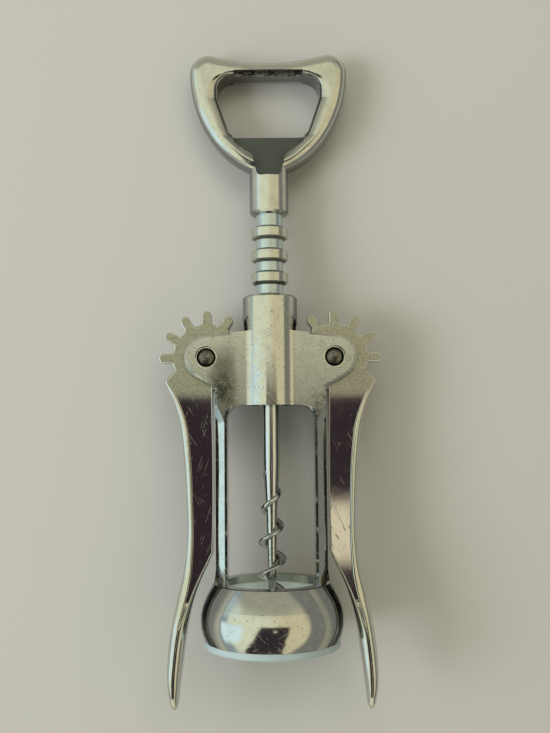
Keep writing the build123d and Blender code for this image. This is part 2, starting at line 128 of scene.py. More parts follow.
# %% A material under construction
class Finish:
    """One material: makes its nodes and holds its Principled shader."""

    def __init__(self, name):
        self.material = bpy.data.materials.new(name)
        self.material.use_nodes = True
        self.tree = self.material.node_tree
        self.shader = self.tree.nodes["Principled BSDF"]

    def node(self, kind, settings=None, inputs=None, output=0):
        """A node of any kind: its settings first, then the values or wires of its sockets."""
        made = self.tree.nodes.new(kind)
        for name, setting in (settings or {}).items():
            setattr(made, name, setting)
        for name, value in (inputs or {}).items():
            self.feed(made.inputs[name], value)
        return Wire(self, made.outputs[output])

    def feed(self, socket, value):
        if isinstance(value, Wire):
            self.tree.links.new(value.socket, socket)
        else:
            socket.default_value = value

    def set(self, **sockets):
        """Values or wires for the sockets of the Principled shader, spaces written as low lines."""
        for name, value in sockets.items():
            self.feed(self.shader.inputs[name.replace("_", " ")], value)

    def parts(self, vector):
        """The three parts of a vector, as wires."""
        split = self.node("ShaderNodeSeparateXYZ", None, {0: vector}).socket.node
        return [Wire(self, split.outputs[axis]) for axis in "XYZ"]

    def place(self):
        """The point on the piece, and its three coordinates in millimetres."""
        point = self.node("ShaderNodeTexCoord", output="Object")
        scaling = {0: point, "Scale": 1 / MM}
        in_mm = self.node("ShaderNodeVectorMath", {"operation": "SCALE"}, scaling)
        return in_mm, self.parts(in_mm)

    def tilt(self):
        """1 on faces that look straight to the front or back, and 0 on walls square to them."""
        normal = self.node("ShaderNodeTexCoord", output="Normal")
        return self.parts(normal)[2].size()

    def distance(self, across, along):
        """The root of the sum of two squares."""
        vector = self.node("ShaderNodeCombineXYZ", None, {"X": across, "Y": along})
        settings = {"operation": "LENGTH"}
        return self.node("ShaderNodeVectorMath", settings, {0: vector}, output="Value")

    def stretch(self, point, x, y, z, turn=0.0):
        """The point turned about Z, then its pattern made x, y and z times as long."""
        inputs = {"Vector": point, "Rotation": (0, 0, turn), "Scale": (x, y, z)}
        return self.node("ShaderNodeMapping", {"vector_type": "TEXTURE"}, inputs)

    def noise(self, point, scale, detail=2.0, roughness=0.5):
        """Soft noise from 0 to 1, with scale waves to a millimetre."""
        inputs = {"Vector": point, "Scale": scale, "Detail": detail, "Roughness": roughness}
        return self.node("ShaderNodeTexNoise", None, inputs)

    def mix(self, share, first, second):
        """Two colours mixed by a share from 0 to 1. Sockets 6 and 7 and output 2 carry colours."""
        inputs = {0: share, 6: first, 7: second}
        return self.node("ShaderNodeMix", {"data_type": "RGBA"}, inputs, output=2)

    def bump(self, height, depth):
        """A Bump node for a height from 0 to 1 that stands for depth in millimetres."""
        inputs = {"Height": height, "Strength": 1.0, "Distance": depth * MM}
        return self.node("ShaderNodeBump", None, inputs)


print("Shader helpers ready")

# %% [markdown]
# ## What old chrome plating shows
#
# The casting is zinc under chrome. Close up it has three marks: fine round pits where the plating
# has failed, hairline scratches that run every way, and a cloudy grey film where hands don't
# polish it. They could be painted by hand, but noise gives them at any distance. Each is a small
# function that returns a mask from 0 to 1, so that every finish can take its own amount of each.

# %% Marks of wear
HAIRLINE_WIDTH = 0.018


def pits(finish, point, scale, share):
    """Round dots: the middles of Voronoi cells, kept where a second noise is high."""
    cell = finish.node("ShaderNodeTexVoronoi", {"feature": "F1"}, {"Vector": point, "Scale": scale})
    dots = cell.ramp(0.30, 0.12)
    chosen = finish.noise(point, scale * 0.9, detail=0.0).ramp(1 - share, 1 - share + 0.05)
    return dots * chosen


def hairlines(finish, point, turn, scale, width):
    """Thin scratches: the borders of very long Voronoi cells, broken off by soft noise."""
    inputs = {"Vector": finish.stretch(point, 1.0, 24.0, 4.0, turn), "Scale": scale}
    border = finish.node("ShaderNodeTexVoronoi", {"feature": "DISTANCE_TO_EDGE"}, inputs)
    patches = finish.noise(finish.stretch(point, 1.0, 3.0, 1.0, turn), 0.6, detail=1.0)
    return border.ramp(width, width * 0.3) * patches.ramp(0.60, 0.66)


def crossed_hairlines(finish, point, first_turn, second_turn):
    """Two sets of scratches, each turned its own way, the second a little sparser."""
    first = hairlines(finish, point, first_turn, 0.9, HAIRLINE_WIDTH)
    return first + hairlines(finish, point, second_turn, 0.7, HAIRLINE_WIDTH)


def film(finish, point, scale):
    """A cloudy film: soft noise with finer noise in it."""
    return finish.noise(point, scale, detail=5.0, roughness=0.62).ramp(0.40, 0.66)


print("Marks of wear: pits, hairlines, film")

# %% [markdown]
# ## The frame's plating
#
# The frame is one casting. Its bell is smooth as a mirror, while the flat ears have the fine
# orange peel of the mould under the plating. The left ear carries painted shade beside the barrel
# and a painted dark reflection below the pivot, as the right ear does below its own, painted shade
# darkens the steep walls, the bell's sides and the corners, and a patch on the barrel is scuffed.
# The casting has one slot, so where a point lies and how its face is turned decide how much of each
# mark it gets. The rails are bevelled in the photograph, and a slope in the bump's height turns
# their mirror in the same way.

# %% Frame finish
PLATE = (0.66, 0.65, 0.57, 1)
# Grey of the cloudy film, also used as painted shade along the grip window.
PLATE_FILM_AND_SHADE = (0.30, 0.29, 0.26, 1)
WALL_SHADE = (0.27, 0.28, 0.28, 1)
EAR_SHADE = (0.22, 0.22, 0.17, 1)
# Near-black for real pits and chips, and also for painted shade in corners and round the pins, and for
# painted dark reflections on the ears.
SOOT_AND_SHADE = (0.055, 0.050, 0.045, 1)
SCUFF = (0.66, 0.76, 0.82, 1)
WALL_TILT = (0.66, 0.40)
PLATE_ROUGHNESS = 0.09
PLATE_DEPTH = 0.02
EAR_LOW_Y = 64.0
RAIL_X = 13.6
RAIL_TURN = 6.5


def ear_dark_reflections(finish, point, x, y):
    """Painted dark reflection below the two pivots, broken up by fine noise."""
    left = x.near(-13.5, 1.0, 6.5) * y.near(68.0, 1.5, 7.5)
    right = x.near(13.0, 1.0, 4.0) * y.near(65.5, 0.5, 4.0)
    speckle = finish.noise(point, 0.9, detail=6.0, roughness=0.75)
    return (left + right * 0.7) * speckle.ramp(0.42, 0.56)


def barrel_scuff(finish, point, x, y, z):
    """A patch down the left of the barrel's front, in streaks that lean with the scuffing."""
    patch = x.near(-3.6, 0.6, 2.6) * y.near(73.0, 4.0, 11.0) * z.ramp(4.5, 5.5)
    streaks = finish.noise(finish.stretch(point, 1.0, 2.9, 1.0, 0.4), 1.1, detail=5.0)
    return patch * streaks.ramp(0.47, 0.58)


def frame_corner_shade(tilt, x, y):
    """Painted shade on walls: those of the ears' slot, and those of the window between the rails."""
    ear_wall = y.ramp(64.0, 66.0) * x.size().ramp(7.6, 8.2)
    window_wall = y.ramp(20.0, 22.0) * x.size().ramp(12.0, 11.6)
    return tilt.ramp(0.40, 0.15) * (ear_wall + window_wall).at_most(1.0)


def rail_bevel(tilt, x, y):
    """A height that rises across each rail's front, so that its mirror turns to the side."""
    on_rails = y.ramp(18.0, 22.0) * y.ramp(66.0, 64.0) * x.size().ramp(10.0, 11.5)
    bevel = on_rails * tilt.ramp(0.60, 0.66) * tilt.ramp(0.80, 0.75)
    return bevel * (x.size() - RAIL_X) * RAIL_TURN


def plated_frame():
    """Bright plating with painted shade on steep walls, the bell's sides, the corners and the left
    ear, a painted dark reflection below the pivots, and the marks of wear laid over it one by one.
    """
    finish = Finish("plated_frame")
    point, (x, y, z) = finish.place()
    tilt = finish.tilt()
    on_face = z.size().ramp(4.2, 4.6) * (1 - z.size().ramp(5.4, 6.4))
    on_ears = y.ramp(EAR_LOW_Y - 2, EAR_LOW_Y + 2) * on_face
    pitted = pits(finish, point, 1.6, 0.42) + pits(finish, point, 3.4, 0.30)
    peel = finish.noise(point, 2.6, detail=3.0, roughness=0.6)
    cloud = film(finish, point, 0.30)
    scratched = crossed_hairlines(finish, point, 0.7, -1.1)
    painted_ear_reflection = ear_dark_reflections(finish, point, x, y)
    scuff = barrel_scuff(finish, point, x, y, z)
    ragged_x = x + (peel - 0.5) * 5.0
    # Painted shade on the left ear beside the barrel, with a ragged edge.
    left_ear_shade = ragged_x.near(-12.6, 1.4, 4.6) * y.near(71.0, 4.0, 12.0) * on_ears
    # Painted shade on all steep walls, and more of it down the bell's sides.
    bell_side_shade = y.ramp(19.0, 17.0) * tilt.ramp(0.74, 0.58) * 0.8
    colour = finish.mix(cloud * 0.12, PLATE, PLATE_FILM_AND_SHADE)
    colour = finish.mix((tilt.ramp(*WALL_TILT) + bell_side_shade).at_most(1.0), colour, WALL_SHADE)
    # Painted shade in the corners of the ears' slot and of the window between the rails.
    colour = finish.mix(frame_corner_shade(tilt, x, y), colour, SOOT_AND_SHADE)
    colour = finish.mix(left_ear_shade * 0.85, colour, EAR_SHADE)
    colour = finish.mix(scuff * 0.6, colour, SCUFF)
    # Painted dark reflection below the pivots, and the real pits, in one near-black.
    colour = finish.mix((painted_ear_reflection.at_most(1.0) * 0.8 + pitted * 0.75).at_most(1.0), colour, SOOT_AND_SHADE)
    rough = PLATE_ROUGHNESS + on_ears * 0.12 + cloud * 0.05 + scuff * 0.25 + painted_ear_reflection * 0.2
    rough = (rough + pitted * 0.3 + scratched * 0.2).at_most(0.8)
    height = peel * (0.10 + on_ears * 0.8) - pitted * 0.9 - scratched * 0.4
    relief = finish.bump(height + rail_bevel(tilt, x, y), PLATE_DEPTH)
    finish.set(Base_Color=colour, Metallic=1.0, Roughness=rough, Normal=relief)
    return finish.material


FRAME_METAL = plated_frame()
print("Frame finish:", len(FRAME_METAL.node_tree.nodes), "nodes")

# %% [markdown]
# ## The levers' plating
#
# The gear end is left as cast, matt and speckled, and its rounded edges are worn bright. Below it a
# web lies between two polished rims. The web is a dark mirror with fine scratches, and its brown
# tinge is a painted reflection. The web is 2.4 mm from the middle plane and the rims are further
# out, so the height above the middle plane tells them apart.

# %% Lever finish
CAST_GREY = (0.66, 0.64, 0.50, 1)
CAST_DARK = (0.38, 0.36, 0.28, 1)
WEB_REFLECTION_TINT = (0.60, 0.55, 0.50, 1)
WORN = (0.86, 0.85, 0.78, 1)
WEB_TOP_Y = 69.0


def plated_lever():
    """Plating with a web tinted by a painted brown reflection, painted shade on steep walls, a cast
    gear that starts at the web's top, and worn gear edges.
    """
    finish = Finish("plated_lever")
    point, (x, y, z) = finish.place()
    tilt = finish.tilt()
    gear = y.ramp(WEB_TOP_Y - 4.0, WEB_TOP_Y + 2.0) * tilt.ramp(0.86, 0.97)
    web = (1 - gear) * z.size().ramp(3.2, 2.6) * tilt.ramp(0.75, 0.95)
    pitted = pits(finish, point, 2.2, 0.30)
    grain = finish.noise(point, 3.2, detail=4.0, roughness=0.7)
    cloud = film(finish, point, 0.28)
    scratched = crossed_hairlines(finish, point, 0.5, -0.35)
    cast = finish.mix(grain.ramp(0.40, 0.62), CAST_GREY, CAST_DARK)
    worn_edge = y.ramp(WEB_TOP_Y - 3.0, WEB_TOP_Y) * tilt.ramp(0.99, 0.90) * tilt.ramp(0.30, 0.45)
    colour = finish.mix(cloud * 0.10, PLATE, PLATE_FILM_AND_SHADE)
    # Painted brown reflection tinting the web.
    colour = finish.mix(web, colour, WEB_REFLECTION_TINT)
    colour = finish.mix(tilt.ramp(0.50, 0.15), colour, WALL_SHADE)
    colour = finish.mix(gear, colour, cast)
    colour = finish.mix(worn_edge, colour, WORN)
    colour = finish.mix(pitted * 0.6, colour, SOOT_AND_SHADE)
    rough = PLATE_ROUGHNESS - web * 0.045 + gear * 0.30 + cloud * 0.02
    rough = (rough + scratched * 0.10 + pitted * 0.25).at_most(0.8)
    height = grain * (0.06 + gear * 0.9 - web * 0.04) - scratched * 0.25 - pitted * 0.7
    relief = finish.bump(height, PLATE_DEPTH)
    finish.set(Base_Color=colour, Metallic=1.0, Roughness=rough, Normal=relief)
    return finish.material


LEVER_METAL = plated_lever()
print("Lever finish:", len(LEVER_METAL.node_tree.nodes), "nodes")

# %% [markdown]
# ## The grip, its stem and the ringed rack
#
# The loop is polished by hands, and its face falls off in a gentle crown towards the window. The
# crown could be modelled, but it is less than a millimetre deep and shows only in what the chrome
# mirrors, so the bump makes it from the distance to the window's edge, and painted shade darkens
# the face along that edge. The sunken web below the window was never polished, so it is dark and
# matt, and the cap lip at the window's top is chipped down to dark metal. On the rack the grooves
# are dulled and carry a painted blue-grey reflection, and painted shade darkens the rings' flanks.

# %% Grip finish
WEB_GREY = (0.135, 0.145, 0.135, 1)
GROOVE_REFLECTION = (0.60, 0.71, 0.74, 1)
FLANK_SHADE = (0.035, 0.033, 0.028, 1)
GRIP_ROUGHNESS = 0.13
STEM_LOW_Y = 117.3
CAP_LIP_Y = 156.3
GRIP_WEB_TOP_Y = 139.6
GRIP_WINDOW_LOW_Y = 138.7
GRIP_WINDOW_LOW_HALF = 10.5
GRIP_WINDOW_HALF = 14.2
GRIP_WINDOW_LEAN = 0.346
GRIP_WINDOW_CORNER = 4.6
GRIP_CROWN_WIDTH = 3.0
GRIP_CROWN_HEIGHT = 58.0


def grip_crown(finish, x, y):
    """1 at the edge of the grip window, falling off as a square to 0 over the width of the crown. The
    window is a box with rounded upper corners whose sides lean in below, and the distance to it is
    the length of the part outside its core."""
    above_low = y - GRIP_WINDOW_LOW_Y
    lean = GRIP_WINDOW_LOW_HALF + above_low * GRIP_WINDOW_LEAN
    low = GRIP_WINDOW_LOW_HALF + above_low
    half = lean.at_most(low).at_most(GRIP_WINDOW_HALF)
    across = (x.size() - half + GRIP_WINDOW_CORNER).at_least(0.0)
    above = (y - (CAP_LIP_Y - GRIP_WINDOW_CORNER)).at_least(0.0)
    beyond = (finish.distance(across, above) - GRIP_WINDOW_CORNER) / GRIP_CROWN_WIDTH
    fall = 1 - beyond.at_least(0.0).at_most(1.0)
    return fall * fall * y.ramp(131.0, 134.0) * y.ramp(157.0, 153.5)


def plated_grip():
    """Plating with a crowned face and painted shade along the window and on steep walls, a matt sunken
    web, a chipped lip, and grooves with a painted reflection and painted shade on the rings' flanks.
    """
    finish = Finish("plated_grip")
    point, (x, y, z) = finish.place()
    tilt = finish.tilt()
    radius = finish.distance(x, z)
    sunk = z.size().ramp(2.5, 2.15) * tilt.ramp(0.75, 0.9)
    in_web = y.ramp(125.5, 127.0) * y.ramp(GRIP_WEB_TOP_Y, GRIP_WEB_TOP_Y - 0.6)
    web = sunk * in_web * x.size().ramp(10.4, 9.8)
    lip = sunk * y.ramp(CAP_LIP_Y - 0.4, CAP_LIP_Y) * x.size().ramp(9.8, 9.4)
    crown = grip_crown(finish, x, y) * (1 - sunk)
    on_rack = 1 - y.ramp(STEM_LOW_Y - 0.3, STEM_LOW_Y)
    groove = on_rack * radius.ramp(4.3, 3.9)
    flank = on_rack * radius.ramp(3.8, 4.0) * radius.ramp(5.0, 4.5)
    pitted = pits(finish, point, 1.9, 0.35) + pits(finish, point, 4.0, 0.22)
    cloud = film(finish, point, 0.26)
    scratched = crossed_hairlines(finish, point, 0.9, -0.4)
    chips = finish.noise(finish.stretch(point, 1.7, 0.7, 1.0), 1.3, detail=5.0, roughness=0.7)
    chips = chips.ramp(0.44, 0.52)
    grain = finish.noise(point, 3.5, detail=4.0, roughness=0.65)
    web_colour = finish.mix(grain.ramp(0.62, 0.75) * 0.25, WEB_GREY, PLATE)
    colour = finish.mix(cloud * 0.14, PLATE, PLATE_FILM_AND_SHADE)
    colour = finish.mix(tilt.ramp(*WALL_TILT) * (1 - on_rack), colour, WALL_SHADE)
    # Painted shade along the grip window's edge.
    colour = finish.mix(crown * 0.55, colour, PLATE_FILM_AND_SHADE)
    # Painted blue-grey reflection in the rack's grooves, which are also rougher.
    colour = finish.mix(groove * 0.7, colour, GROOVE_REFLECTION)
    # Painted shade on the rings' flanks, broken up by grain.
    colour = finish.mix(flank * (0.35 + grain * 0.6), colour, FLANK_SHADE)
    colour = finish.mix(web, colour, web_colour)
    colour = finish.mix(lip * (1 - chips * 0.75), colour, SOOT_AND_SHADE)
    colour = finish.mix((pitted * 0.7).at_most(1.0), colour, SOOT_AND_SHADE)
    rough = GRIP_ROUGHNESS + cloud * 0.08 + web * 0.34 + lip * 0.22 + groove * 0.12
    rough = (rough + flank * 0.3 + scratched * 0.12 + pitted * 0.3).at_most(0.85)
    height = grain * (0.08 + web * 0.7 + on_rack * 0.25) - pitted * 0.8 - scratched * 0.3
    height = height + lip * chips * 1.2 - crown * tilt.ramp(0.3, 0.6) * GRIP_CROWN_HEIGHT
    relief = finish.bump(height, PLATE_DEPTH)
    finish.set(Base_Color=colour, Metallic=1.0, Roughness=rough, Normal=relief)
    return finish.material


GRIP_METAL = plated_grip()
print("Grip finish:", len(GRIP_METAL.node_tree.nodes), "nodes")

# %% [markdown]
# ## Worm, pins and neck ring
#
# The worm is drawn steel: bright, with fine lines along it, painted shade on its steep flanks and a
# brown bloom near the point. The pins are dull dark steel with a worn top and painted shade round
# their edge. The neck ring is moulded plastic of a pale mint colour that lets a little light in,
# so its shader has some subsurface scattering, and its lip under the bell gets painted shade. Each
# of them has a slot and a finish of its own.

# %% Worm, pin and ring finishes
STEEL = (0.70, 0.71, 0.67, 1)
STEEL_BLOOM = (0.30, 0.25, 0.20, 1)
STEEL_FLANK_SHADE = (0.055, 0.062, 0.066, 1)
PIN_DARK = (0.15, 0.135, 0.115, 1)
PIN_WORN = (0.42, 0.40, 0.34, 1)
PIN_EDGE_RADIUS = 2.6
PIVOT_X = 17.4
PIVOT_Y = 77.3
MINT = (0.72, 0.80, 0.78, 1)
MINT_WORN = (0.60, 0.65, 0.60, 1)
MINT_LIP_SHADE = (0.42, 0.50, 0.51, 1)
LIP_TOP_Y = 2.0


def worm_steel():
    """Bright steel with fine lines along Y, a brown bloom low down, and painted shade on steep flanks.
    """
    finish = Finish("worm_steel")
    point, (x, y, z) = finish.place()
    lines = finish.noise(finish.stretch(point, 1.0, 20.0, 1.0), 5.0, detail=3.0)
    bloom = film(finish, point, 0.8) * y.ramp(48.0, 20.0)
    pitted = pits(finish, point, 3.0, 0.30)
    colour = finish.mix(bloom * 0.5, STEEL, STEEL_BLOOM)
    # Painted shade on the steep flanks of rod and thread.
    colour = finish.mix(finish.tilt().ramp(0.44, 0.26), colour, STEEL_FLANK_SHADE)
    colour = finish.mix(pitted * 0.6, colour, SOOT_AND_SHADE)
    rough = 0.10 + lines * 0.10 + bloom * 0.10 + pitted * 0.2
    relief = finish.bump(lines * 0.5 - pitted * 0.6, 0.012)
    finish.set(Base_Color=colour, Metallic=1.0, Roughness=rough, Normal=relief)
    return finish.material


def pin_steel():
    """Dark steel, worn in the middle of the dome, with painted shade round its edge."""
    finish = Finish("pin_steel")
    point, (x, y, z) = finish.place()
    from_centre = finish.distance(x.size() - PIVOT_X, y - PIVOT_Y)
    edge = from_centre.ramp(PIN_EDGE_RADIUS - 0.9, PIN_EDGE_RADIUS)
    mottle = finish.noise(point, 1.8, detail=5.0, roughness=0.7)
    worn = mottle.ramp(0.48, 0.62) * (1 - edge)
    colour = finish.mix(worn * 0.7, PIN_DARK, PIN_WORN)
    # Painted shade round the pin's edge, where it sits in the ear's hole.
    colour = finish.mix(edge * 0.8, colour, SOOT_AND_SHADE)
    rough = 0.24 + mottle * 0.2
    relief = finish.bump(mottle, 0.03)
    finish.set(Base_Color=colour, Metallic=1.0, Roughness=rough, Normal=relief)
    return finish.material


def ring_plastic():
    """Mint plastic, cloudy and lightly scratched, with painted shade on its lip."""
    finish = Finish("ring_plastic")
    point, (x, y, z) = finish.place()
    cloud = film(finish, point, 0.4)
    grain = finish.noise(point, 2.4, detail=3.0)
    scratched = hairlines(finish, point, 0.2, 0.6, 0.03)
    colour = finish.mix(cloud * 0.4 + scratched * 0.3, MINT, MINT_WORN)
    # Painted shade on the lip under the bell.
    colour = finish.mix(y.ramp(LIP_TOP_Y + 0.3, LIP_TOP_Y), colour, MINT_LIP_SHADE)
    rough = 0.30 + cloud * 0.15 + scratched * 0.2
    relief = finish.bump(grain - scratched, 0.012)
    finish.set(Base_Color=colour, Roughness=rough, Normal=relief, Subsurface_Weight=0.35)
    finish.set(Subsurface_Radius=(1.0, 1.2, 1.1), Subsurface_Scale=1.5 * MM)
    return finish.material


finishes = {
    "frame": FRAME_METAL,
    "handle_rack": GRIP_METAL,
    "left_lever": LEVER_METAL,
    "right_lever": LEVER_METAL,
    "worm": worm_steel(),
    "left_pivot_pin": pin_steel(),
    "neck_ring": ring_plastic(),
}
finishes["right_pivot_pin"] = finishes["left_pivot_pin"]
for node_name, material in finishes.items():
    for material_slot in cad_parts[node_name].material_slots:
        material_slot.material = material
print("Finishes given to", len(finishes), "nodes")

# %% [markdown]
# ## Shapes from grids
#
# The CAD levers and worm have the right sizes, but a casting has soft edges that a polished
# surface shows at once. A bevel modifier could round them, yet the roundness changes all along
# the lever. So these pieces are worked out again with numpy: a closed section is carried along the
# piece, its sizes taken from smooth curves, and the rows of points become a grid of faces.

# %% Grid helpers
def smooth_curve(at, curve):
    """A cubic curve through pairs of place and value, its slope at each the average of both sides."""
    places, values = np.array(curve, float).T
    slopes = np.gradient(values, places)
    at = np.clip(at, places[0], places[-1])
    left = np.clip(np.searchsorted(places, at) - 1, 0, len(places) - 2)
    step = places[left + 1] - places[left]
    share = (at - places[left]) / step
    rise = values[left + 1] - values[left]
    bend = 3 * rise - step * (2 * slopes[left] + slopes[left + 1])
    twist = step * (slopes[left] + slopes[left + 1]) - 2 * rise
    return values[left] + share * step * slopes[left] + share ** 2 * bend + share ** 3 * twist


def s_step(share):
    """From 0 to 1 with level ends: three times the square, less twice the cube."""
    return 3 * share ** 2 - 2 * share ** 3


def tube_faces(rows, columns, closed_rows):
    """Quads between neighbouring rows, closed round the columns, and round the rows if asked."""
    last_row = rows - (not closed_rows)
    row, column = np.meshgrid(np.arange(last_row), np.arange(columns), indexing="ij")
    next_row, next_column = (row + 1) % rows, (column + 1) % columns
    corners = [row * columns + column, row * columns + next_column,
               next_row * columns + next_column, next_row * columns + column]
    faces = np.stack(corners, axis=-1).reshape(-1, 4).tolist()
    if not closed_rows:
        faces.append(list(range(columns))[::-1])
        faces.append(list(range((rows - 1) * columns, rows * columns)))
    return faces


def turned_outwards(points, faces):
    """The faces, each turned round if the volume they enclose comes out negative."""
    quads = np.array([face for face in faces if len(face) == 4])
    a, b, c, d = (points[quads[:, corner]] for corner in range(4))
    volume = np.sum(a * np.cross(b, c)) + np.sum(a * np.cross(c, d))
    return [face[::-1] for face in faces] if volume < 0 else faces


def piece_from_grids(name, grids, body, slot, material):
    """One smooth object from closed grids of points in millimetres, riding on a body."""
    points, faces = [], []
    for grid, closed_rows in grids:
        rows, columns, _ = grid.shape
        flat = grid.reshape(-1, 3)
        first = sum(len(part) for part in points)
        grid_faces = turned_outwards(flat, tube_faces(rows, columns, closed_rows))
        faces += [[corner + first for corner in face] for face in grid_faces]
        points.append(flat)
    mesh = bpy.data.meshes.new(name)
    mesh.from_pydata((np.concatenate(points) * MM).tolist(), [], faces)
    mesh.polygons.foreach_set("use_smooth", np.ones(len(mesh.polygons), bool))
    mesh.materials.append(material)
    piece = bpy.data.objects.new(name, mesh)
    bpy.context.scene.collection.objects.link(piece)
    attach(piece, body)
    print(name, len(mesh.polygons), "faces")
    return piece


# %% [markdown]
# ## The lever's arm
#
# From the front the arm is a dark sunken web between two rims. The outer rim is broad and rolls
# over to the side. Below the kink the web narrows to a point and runs out, and the lever becomes a
# thumb paddle with a rounded nose. The section at each height is made of a wall, a quarter of an
# ellipse, a step down to the web, and the same again on the other side. Where the web ends, both
# steps shrink to nothing, and the two ellipses meet in one rounded nose. The curves below give
# each size of the section at shares of the lever's length, counted down from the pivot.

# %% Sizes along the lever's arm
LEVER_LENGTH = 93.7
LEVER_TOP_SHARE = 0.034
LEVER_INNER_X = 15.7
LEVER_KINK_SHARE = 0.558
OUTER_X = (
    (0.0672, 28.9), (0.10, 27.25), (0.16, 25.3), (0.288, 23.6), (0.40, 22.9), (0.523, 22.7),
    (0.60, 23.4), (0.694, 25.4), (0.78, 27.0), (0.854, 27.8), (0.92, 27.95), (0.965, 27.5),
    (0.99, 27.1), (1.0, 26.75),
)
INNER_X_BELOW_KINK = (
    (0.558, 15.7), (0.592, 17.1), (0.625, 18.6), (0.67, 20.3), (0.718, 21.65), (0.78, 22.85),
    (0.854, 23.8), (0.92, 24.6), (0.965, 25.1), (0.99, 25.35), (1.0, 25.75),
)
HALF_DEPTH = (
    (0.034, 2.25), (0.070, 2.43), (0.106, 2.62), (0.15, 3.05), (0.20, 3.4), (0.26, 3.6),
    (0.558, 3.65), (0.65, 4.3), (0.75, 5.1), (0.832, 5.35), (0.92, 4.6), (0.97, 3.3),
    (0.99, 2.2), (1.0, 1.2),
)
OUTER_RIM_WIDTH = (
    (0.034, 0.35), (0.0672, 0.45), (0.10, 0.85), (0.16, 1.35), (0.523, 1.5), (0.585, 1.75),
    (0.633, 2.25), (0.67, 2.5), (0.71, 2.3), (0.74, 2.1), (0.775, 2.0),
)
INNER_RIM_WIDTH = (
    (0.034, 0.2), (0.54, 0.22), (0.60, 0.50), (0.664, 0.85), (0.70, 1.1), (0.737, 1.5),
    (0.775, 2.0),
)
OUTER_RIM_DROP = (
    (0.034, 0.3), (0.10, 0.5), (0.2, 1.25), (0.523, 1.3), (0.70, 1.8), (0.80, 2.4), (1.0, 0.9),
)
INNER_RIM_DROP = (
    (0.034, 0.2), (0.2, 0.4), (0.54, 0.5), (0.62, 0.9), (0.72, 1.7), (0.80, 2.4), (1.0, 0.9),
)
SHOULDER_SHARE = 0.0672
SHOULDER_SLOPE = 48.0
CHEEK_X = 26.1
CHEEK_SLOPE = 84.0
CHEEK_SOFTNESS = 0.40
NOSE_SHARE = 0.765
NOSE_LENGTH = 0.02
NOSE_GAP = 0.03
DROP_LIMIT = 0.75
WEB_HALF = 2.41
WEB_END_SHARES = (0.695, 0.772)
WEB_END_GAP = 0.02


def soft_least(first, second, softness):
    """The smaller of two values, rounded where they cross."""
    return -softness * np.logaddexp(-first / softness, -second / softness)


def rim_width(share, curve, width):
    """A rim's width from its curve, going over into half the arm's width where the nose begins."""
    nose = np.clip((share - NOSE_SHARE) / NOSE_LENGTH, 0, 1)
    return smooth_curve(share, curve) * (1 - nose) + (width / 2 - NOSE_GAP) * nose


def lever_sizes(share):
    """The arm's edges, half depth, rim widths, rim drops and web level at shares of its length."""
    shoulder = SHOULDER_SLOPE * np.maximum(SHOULDER_SHARE - share, 0)
    cheek = CHEEK_X + (share - LEVER_TOP_SHARE) * CHEEK_SLOPE
    outer = soft_least(smooth_curve(share, OUTER_X) + shoulder, cheek, CHEEK_SOFTNESS)
    below_kink = smooth_curve(share, INNER_X_BELOW_KINK)
    inner = np.where(share < LEVER_KINK_SHARE, LEVER_INNER_X, below_kink)
    depth = smooth_curve(share, HALF_DEPTH)
    outer_rim = rim_width(share, OUTER_RIM_WIDTH, outer - inner)
    inner_rim = rim_width(share, INNER_RIM_WIDTH, outer - inner)
    outer_drop = np.minimum(smooth_curve(share, OUTER_RIM_DROP), depth * DROP_LIMIT)
    inner_drop = np.minimum(smooth_curve(share, INNER_RIM_DROP), depth * DROP_LIMIT)
    web_end, web_out = WEB_END_SHARES
    run_out = s_step(np.clip((share - web_end) / (web_out - web_end), 0, 1))
    face = depth - WEB_END_GAP
    web = np.minimum(WEB_HALF, face) * (1 - run_out) + face * run_out
    return outer, inner, depth, outer_rim, inner_rim, outer_drop, inner_drop, web


# %% Lever arm
ARM_STRETCHES = ((LEVER_TOP_SHARE, 0.16, 60), (0.16, 0.55, 60), (0.55, 0.9, 110), (0.9, 1.0, 50))
RIM_STEPS = 10
STEP_POINTS = 7
STEP_WIDTH = 0.18
STEP_WIDTH_LIMIT = 0.3
WEB_PLACES = (0.015, 0.2, 0.5, 0.8, 0.985)


